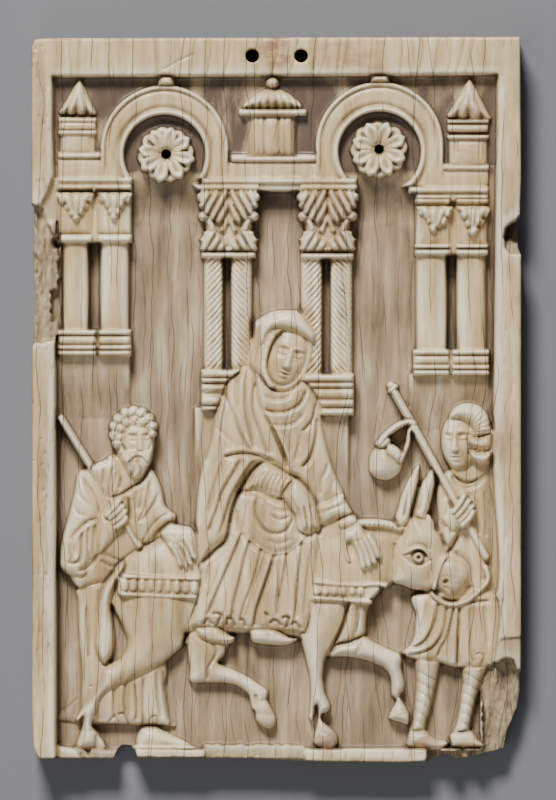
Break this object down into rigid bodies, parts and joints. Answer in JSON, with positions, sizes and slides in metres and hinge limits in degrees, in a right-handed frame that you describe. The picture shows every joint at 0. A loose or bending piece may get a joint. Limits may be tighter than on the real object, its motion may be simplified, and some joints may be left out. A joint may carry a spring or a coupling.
{
  "type": "carved ivory plaque",
  "caption": "Upright ivory panel carved in relief with a veiled rider on a donkey, a bearded man behind and an attendant ahead, under an arcade.",
  "frame": {"origin": "centre of the bounding box in X and Y, at the flat back that the plaque lies on", "axes": "+X to the right of the scene, +Y up the scene, +Z out of the relief"},
  "size_m": [0.1096, 0.1624, 0.012],
  "materials": {
    "ivory": "old elephant ivory, worn to a soft polish on the high parts, brown in the hollows, finely cracked"
  },
  "bodies": {
    "root": {"ivory_plaque": "ivory"}
  },
  "joints": []
}
